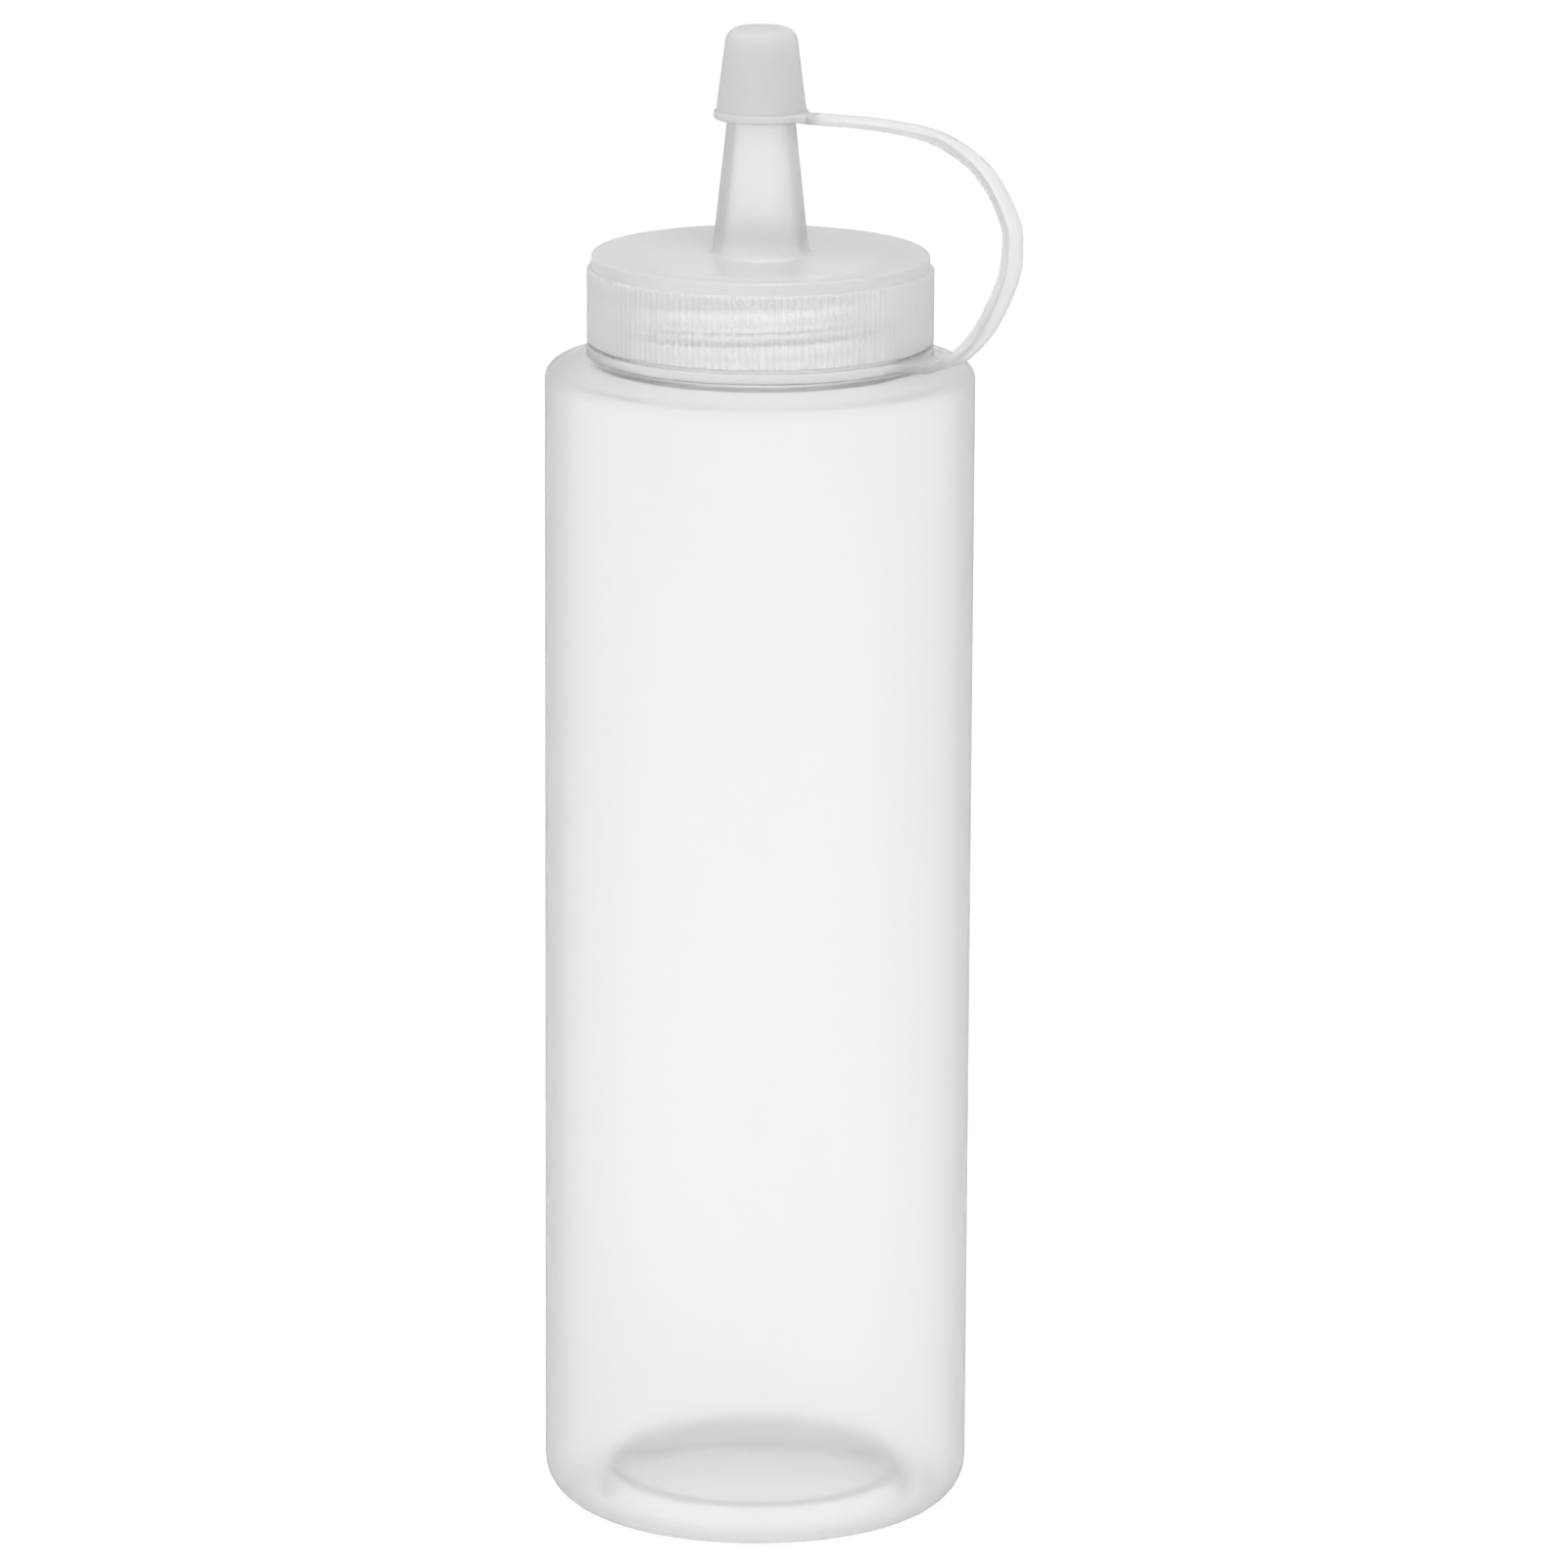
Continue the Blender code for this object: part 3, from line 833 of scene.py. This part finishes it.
@dataclass
class Tether:
    """The flexible moulding: a ring round the neck, a strap and the cap on the nozzle's tip."""

    plastic: bpy.types.Material
    tip_plastic: bpy.types.Material
    ring_z: float
    tip_cap_z: float
    tip_cap_top: float
    nozzle_tip_z: float
    thick: float = 1.1 * MM
    width: float = 3.2 * MM
    root_width: float = 6.2 * MM
    taper_share: float = 0.6
    edge: float = 0.25 * MM
    ring_inner: float = 20.9 * MM
    ring_outer: float = 22.2 * MM
    ring_low_round: float = 0.2 * MM
    ring_inner_round: float = 0.1 * MM
    ring_steps: int = 192
    ring_drop: float = 0.27 * MM
    ring_lug: float = 3.6 * MM
    ring_flare: float = 4.0 * MM
    tip_lug: float = 1.6 * MM
    tip_flare: float = 1.4 * MM
    lug_root: float = 0.6 * MM
    lug_root_shares: tuple[float, ...] = (1.0, 0.75, 0.5, 0.25)
    reach: float = 36.45 * MM
    tip_radius: float = 5.9 * MM
    tip_top_radius: float = 4.4 * MM
    tip_round: float = 1.8 * MM
    tip_steps: int = 96
    band: float = 0.15 * MM
    band_round: float = 0.06 * MM
    band_low_round: float = 0.3 * MM
    socket_mouth: float = 4.71 * MM
    socket_mouth_round: float = 0.15 * MM
    socket_end: float = 3.8 * MM
    socket_end_round: float = 0.3 * MM
    socket_lead: float = 0.4 * MM
    socket_lead_round: float = 0.2 * MM
    socket_room: float = 0.3 * MM
    lower_shares: tuple[tuple[float, float], ...] = (
        (0.0, 0.0), (0.28, 0.045), (0.64, 0.182), (0.93, 0.385),
    )
    upper_shares: tuple[tuple[float, float], ...] = (
        (1.0, 0.525), (0.983, 0.655), (0.855, 0.845), (0.64, 0.963), (0.36, 1.0), (0.0, 1.0),
    )
    strap_gap: float = 0.02 * MM
    strap_steps: int = 12
    flare_steps: int = 8
    bend_start: tuple[float, float] = (32.0 * MM, 168.0 * MM)
    bend_end: tuple[float, float] = (12.0 * MM, 184.0 * MM)

    def lug(self, name: str, rim: float, length: float, low: float, width: float,
            flare: float) -> bpy.types.Object:
        """A flat tongue that widens in a round flare where it leaves its ring or cap.

        Args:
            name: The new object's name.
            rim: Radius of the ring or cap that it leaves.
            length: Its length from there to the strap.
            low: Height of the underside.
            width: Its width where it meets the strap.
            flare: Radius of the flare.

        Returns:
            The tongue as a closed mesh object, on the strap's bearing.
        """
        first, last = rim - self.lug_root, rim + length
        half = width / 2.0
        middle_v = half + flare
        middle_s = math.sqrt((rim + flare) ** 2 - middle_v ** 2)
        leaves = 1.5 * math.pi
        meets = math.pi + math.atan2(middle_v, middle_s)
        side = [(last, half)]
        for step in range(self.flare_steps + 1):
            angle = leaves + (meets - leaves) * step / self.flare_steps
            side.append((middle_s + flare * math.cos(angle), middle_v + flare * math.sin(angle)))
        spread = math.atan2(side[-1][1], side[-1][0])
        for share in self.lug_root_shares:
            side.append((first * math.cos(spread * share), first * math.sin(spread * share)))
        outline = side + [(s, -v) for s, v in reversed(side)]
        tongue = draw_line(name, [(s, v, low) for s, v in outline], True)
        bpy.ops.mesh.edge_face_add()
        extrude_selected((0.0, 0.0, self.thick))
        face_outwards()

        def on_rim(one: Vector, other: Vector) -> bool:
            """Say whether an edge runs along the tongue's upper or lower rim.

            Args:
                one: The edge's first end.
                other: Its second end.

            Returns:
                Whether it is level, and neither at the strap nor inside the ring or cap.
            """
            ends = (one, other)
            level = abs(one.z - other.z) < TOUCH_DISTANCE
            at_strap = all(abs(end.x - last) < TOUCH_DISTANCE for end in ends)
            inside = all(abs(math.hypot(end.x, end.y) - first) < TOUCH_DISTANCE for end in ends)
            return level and not at_strap and not inside

        pick_edges(tongue, on_rim)
        bpy.ops.mesh.bevel(offset=self.edge, segments=BEVEL_SEGMENTS, affect="EDGES")
        bpy.ops.mesh.select_all(action="SELECT")
        turn_selected(STRAP_BEARING, "Z", Vector())
        leave_edit()
        return tongue

    def build_ring(self) -> None:
        """The flat ring round the neck's foot, with the lug that the strap leaves from."""
        top = self.ring_z + self.thick
        low = self.ring_z - self.ring_drop
        ring = Section([
            Corner(self.ring_outer, low, self.ring_low_round),
            Corner(self.ring_outer, top, self.edge),
            Corner(self.ring_inner, top, self.ring_inner_round),
            Corner(self.ring_inner, low, self.ring_inner_round),
        ], closed=True).turn("tether_ring_band", self.ring_steps)
        unite(ring, self.lug("ring_lug", self.ring_outer, self.ring_lug, self.ring_z,
                             self.root_width, self.ring_flare))
        dress(ring, self.plastic, Body.TETHER, "tether_ring")

    def route(self) -> list[Vector]:
        """The strap's middle line in the plane y = 0, from the ring's lug to the tip cap's.

        Returns:
            Points along a smooth curve through the named shares.
        """
        low = self.ring_z + self.thick / 2.0
        rise = self.tip_cap_z - self.ring_z
        stops = []
        for start, shares in ((self.ring_outer + self.ring_lug + self.strap_gap, self.lower_shares),
                              (self.tip_radius + self.tip_lug + self.strap_gap, self.upper_shares)):
            for out_share, rise_share in shares:
                across = start + (self.reach - start) * out_share
                stops.append(Vector((across, 0.0, low + rise * rise_share)))
        ends = [stops[0] * 2.0 - stops[1], *stops, stops[-1] * 2.0 - stops[-2]]
        line = []
        for before, start, stop, after in zip(ends, ends[1:], ends[2:], ends[3:]):
            for step in range(self.strap_steps):
                share = step / self.strap_steps
                line.append(self.between(before, start, stop, after, share))
        return [*line, stops[-1].copy()]

    @staticmethod
    def between(before: Vector, start: Vector, stop: Vector, after: Vector, share: float) -> Vector:
        """A place on the cubic that runs smoothly through four stops.

        Args:
            before: The stop before the stretch.
            start: The stretch's start.
            stop: Its end.
            after: The stop after it.
            share: How far along the stretch the place is, from 0 to 1.

        Returns:
            The place.
        """
        return 0.5 * (
            2.0 * start + (stop - before) * share
            + (2.0 * before - 5.0 * start + 4.0 * stop - after) * share * share
            + (3.0 * start - before - 3.0 * stop + after) * share * share * share
        )

    def build_strap(self) -> None:
        """Extrude the strap's section along its line and turn it to its bearing."""
        line = self.route()
        half, thin = self.root_width / 2.0, self.thick / 2.0
        x, z = line[0].x, line[0].z
        corners = [
            (x, half, z + thin), (x, -half, z + thin), (x, -half, z - thin), (x, half, z - thin),
        ]
        strap = draw_line("tether_strap_band", corners, True)
        bpy.ops.mesh.bevel(offset=self.edge, segments=BEVEL_SEGMENTS, affect="VERTICES")
        bpy.ops.mesh.select_all(action="SELECT")
        bpy.ops.mesh.edge_face_add()
        lean, wide = 0.0, self.root_width
        for index, place in enumerate(line[1:], 1):
            extrude_selected(place - line[index - 1])
            # The last section stands upright, face to face with the tip cap's lug.
            at_lug = index + 1 == len(line)
            ahead = Vector((-1.0, 0.0, 0.0)) if at_lug else line[index + 1] - line[index - 1]
            wanted = math.atan2(ahead.z, ahead.x)
            turn_selected(lean - wanted, "Y", place)
            root_share = max(0.0, 1.0 - index / (len(line) - 1) / self.taper_share)
            wanted_wide = self.width + (self.root_width - self.width) * root_share
            scale_selected((1.0, wanted_wide / wide, 1.0), place)
            lean, wide = wanted, wanted_wide
        face_outwards()
        turn_selected(STRAP_BEARING, "Z", Vector())
        leave_edit()
        dress(strap, self.plastic, None, "tether_strap")
        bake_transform(strap)

    @staticmethod
    def at(across: float, z: float) -> Point:
        """A place in the strap's plane.

        Args:
            across: Distance from the bottle's axis.
            z: Height.

        Returns:
            The place in the model's frame.
        """
        return (across * math.cos(STRAP_BEARING), across * math.sin(STRAP_BEARING), z)

    def build_tip_cap(self) -> None:
        """The cap on the nozzle's tip, with the strap's other lug."""
        lean = (self.tip_radius - self.tip_top_radius) / (self.tip_cap_top - self.tip_cap_z)
        band_top = self.tip_cap_z + self.thick
        band_r = self.tip_radius + self.band
        socket_top = self.nozzle_tip_z + self.socket_room
        cap = Section([
            Corner(0.0, self.tip_cap_top),
            Corner(self.tip_top_radius, self.tip_cap_top, self.tip_round),
            Corner(self.tip_radius - lean * self.thick, band_top, self.band_round),
            Corner(band_r, band_top - self.band, self.band_round),
            Corner(band_r, self.tip_cap_z, self.band_low_round),
            Corner(self.socket_mouth, self.tip_cap_z, self.socket_mouth_round),
            Corner(self.socket_end, self.nozzle_tip_z, self.socket_end_round),
            Corner(self.socket_end - self.socket_lead, socket_top, self.socket_lead_round),
            Corner(0.0, socket_top),
        ]).turn("tip_cap_shell", self.tip_steps)
        unite(cap, self.lug("tip_lug", self.tip_radius, self.tip_lug, self.tip_cap_z,
                            self.width, self.tip_flare))
        dress(cap, self.tip_plastic, Body.TIP_CAP, "tip_cap")

    def build(self) -> None:
        """Build the moulding's three parts."""
        self.build_ring()
        self.build_strap()
        self.build_tip_cap()


@dataclass(frozen=True)
class Lamp:
    """A soft rectangular studio lamp that faces the bottle."""

    name: str
    azimuth: float
    elevation: float
    energy: float
    distance: float = 0.8
    size: tuple[float, float] = (0.5, 0.8)


@dataclass
class Studio:
    """A white floor and backdrop, soft light and the camera at the photograph's viewing angle."""

    target: Vector = field(default_factory=lambda: Vector((0.0, 0.0, 95.37 * MM)))
    wall_bounces: int = 32
    skin_bounces: int = 16
    floor_reach: float = 4.0
    floor_sides: int = 96
    floor_colour: Point = (0.88, 0.88, 0.88)
    floor_glow: float = 0.8
    floor_emission: float = 1.12
    side_level: float = 0.8
    top_level: float = 0.6
    top_height: float = 0.9
    seen_level: float = 1.0
    camera_distance: float = 1.2
    camera_azimuth: float = math.radians(-15.0)
    camera_elevation: float = math.radians(13.37)
    camera_roll: float = math.radians(0.3)
    frame_pixels: float = 1600.0
    focal_pixels: float = 9482.4
    axis_pixels_left: float = 26.3
    sensor: float = 36.0
    near_clip: float = 10.0 * MM
    lamps: tuple[Lamp, ...] = (
        Lamp("left_softbox", math.radians(-75.0), math.radians(25.0), energy=1.2),
        Lamp("front_softbox", 0.0, math.radians(48.0), energy=3.4),
    )

    @staticmethod
    def towards(azimuth: float, elevation: float) -> Vector:
        """Direction from the bottle to a place round it.

        Args:
            azimuth: Angle round the bottle, from the front to the right.
            elevation: Angle up from level.

        Returns:
            The direction, of length 1.
        """
        level = math.cos(elevation)
        return Vector((math.sin(azimuth) * level, -math.cos(azimuth) * level, math.sin(elevation)))

    def build_floor(self) -> None:
        """Lay a wide white floor that keeps the bottle's soft shadow."""
        clear_selection()
        bpy.ops.mesh.primitive_circle_add(
            vertices=self.floor_sides, radius=self.floor_reach, fill_type="NGON")
        floor = bpy.context.object
        floor.name = "studio_floor"
        material = bpy.data.materials.new("white floor")
        material.use_nodes = True
        tree = material.node_tree
        tree.nodes.clear()
        paint = tree.nodes.new("ShaderNodeBsdfDiffuse")
        paint.inputs["Color"].default_value = (*self.floor_colour, 1.0)
        glow = tree.nodes.new("ShaderNodeEmission")
        glow.inputs["Strength"].default_value = self.floor_emission
        share = tree.nodes.new("ShaderNodeMath")
        share.operation = "MULTIPLY"
        share.inputs[1].default_value = self.floor_glow
        tree.links.new(self.seen_directly(tree), share.inputs[0])
        both = tree.nodes.new("ShaderNodeMixShader")
        tree.links.new(share.outputs["Value"], both.inputs["Fac"])
        tree.links.new(paint.outputs["BSDF"], both.inputs[1])
        tree.links.new(glow.outputs["Emission"], both.inputs[2])
        output = tree.nodes.new("ShaderNodeOutputMaterial")
        tree.links.new(both.outputs["Shader"], output.inputs["Surface"])
        floor.data.materials.append(material)

    @staticmethod
    def seen_directly(tree: bpy.types.NodeTree) -> bpy.types.NodeSocket:
        """Tell the rays that show the background from those that only light the scene.

        Args:
            tree: The nodes of a material or of the world.

        Returns:
            A value of 1 for camera, glossy and transmission rays.
        """
        path = tree.nodes.new("ShaderNodeLightPath")
        found = path.outputs["Is Camera Ray"]
        for name in ("Is Glossy Ray", "Is Transmission Ray"):
            either = tree.nodes.new("ShaderNodeMath")
            either.operation = "MAXIMUM"
            tree.links.new(found, either.inputs[0])
            tree.links.new(path.outputs[name], either.inputs[1])
            found = either.outputs["Value"]
        return found

    def build_world(self) -> None:
        """Surround the scene with a white backdrop whose light falls off overhead."""
        world = bpy.data.worlds.new("studio")
        bpy.context.scene.world = world
        world.use_nodes = True
        tree = world.node_tree
        tree.nodes.clear()
        place = tree.nodes.new("ShaderNodeTexCoord")
        split = tree.nodes.new("ShaderNodeSeparateXYZ")
        tree.links.new(place.outputs["Generated"], split.inputs["Vector"])
        level = tree.nodes.new("ShaderNodeMapRange")
        level.interpolation_type = "SMOOTHSTEP"
        level.inputs["From Min"].default_value = 0.0
        level.inputs["From Max"].default_value = self.top_height
        level.inputs["To Min"].default_value = self.side_level
        level.inputs["To Max"].default_value = self.top_level
        tree.links.new(split.outputs["Z"], level.inputs["Value"])
        lit = tree.nodes.new("ShaderNodeMix")
        lit.data_type = "FLOAT"
        tree.links.new(self.seen_directly(tree), lit.inputs["Factor"])
        tree.links.new(level.outputs["Result"], lit.inputs["A"])
        lit.inputs["B"].default_value = self.seen_level
        backdrop = tree.nodes.new("ShaderNodeBackground")
        backdrop.inputs["Color"].default_value = (1.0, 1.0, 1.0, 1.0)
        tree.links.new(lit.outputs["Result"], backdrop.inputs["Strength"])
        output = tree.nodes.new("ShaderNodeOutputWorld")
        tree.links.new(backdrop.outputs["Background"], output.inputs["Surface"])

    def build_lamps(self) -> None:
        """Set the soft lamps round the bottle."""
        for lamp in self.lamps:
            light = bpy.data.lights.new(lamp.name, "AREA")
            light.shape = "RECTANGLE"
            light.size, light.size_y = lamp.size
            light.energy = lamp.energy
            thing = bpy.data.objects.new(lamp.name, light)
            away = self.towards(lamp.azimuth, lamp.elevation)
            thing.location = self.target + away * lamp.distance
            thing.rotation_euler = away.to_track_quat("Z", "Y").to_euler()
            # A lamp behind the bottle would otherwise shine through it as a bright patch.
            thing.visible_camera = thing.visible_transmission = False
            bpy.context.scene.collection.objects.link(thing)

    def build_camera(self) -> None:
        """Set the camera where the photograph was taken from."""
        away = self.towards(self.camera_azimuth, self.camera_elevation)
        turn = away.to_track_quat("Z", "Y").to_matrix()
        right = turn @ Vector((1.0, 0.0, 0.0))
        aside = right * (self.camera_distance * self.axis_pixels_left / self.focal_pixels)
        data = bpy.data.cameras.new("studio_camera")
        data.sensor_width = self.sensor
        data.lens = self.sensor * self.focal_pixels / self.frame_pixels
        data.clip_start = self.near_clip
        camera = bpy.data.objects.new("studio_camera", data)
        camera.location = self.target + away * self.camera_distance
        aim = (camera.location - self.target - aside).to_track_quat("Z", "Y").to_matrix()
        roll = Matrix.Rotation(self.camera_roll, 3, "Z")
        camera.rotation_euler = (aim @ roll).to_euler()
        bpy.context.scene.collection.objects.link(camera)
        bpy.context.scene.camera = camera

    def build(self) -> None:
        """Set up the whole studio."""
        self.build_floor()
        self.build_world()
        self.build_lamps()
        self.build_camera()
        bpy.context.scene.view_settings.view_transform = "Standard"
        rays = bpy.context.scene.cycles
        rays.max_bounces = rays.transmission_bounces = self.wall_bounces
        rays.diffuse_bounces = rays.glossy_bounces = self.skin_bounces


def main() -> None:
    """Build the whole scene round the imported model."""
    logging.basicConfig(level=logging.INFO, format="%(message)s")
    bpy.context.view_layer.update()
    _, bottle_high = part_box("bottle")
    cap_low, cap_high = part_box("screw_cap")
    ring_low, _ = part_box("tether_ring")
    tip_low, tip_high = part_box("tip_cap")
    bottle = BlownBottle(BLOWN_PLASTIC.material(), radius=bottle_high[0], mouth_z=bottle_high[2])
    bottle.build()
    ScrewCap(
        CAP_PLASTIC.material(), skirt_z=cap_low[2], tip_z=cap_high[2],
        mouth_z=bottle.mouth_z, bore_r=bottle.bore_r(),
    ).build()
    Tether(
        TETHER_PLASTIC.material(), TIP_CAP_PLASTIC.material(), ring_z=ring_low[2],
        tip_cap_z=tip_low[2], tip_cap_top=tip_high[2], nozzle_tip_z=cap_high[2],
    ).build()
    Studio().build()


if __name__ == "__main__":
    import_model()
    main()
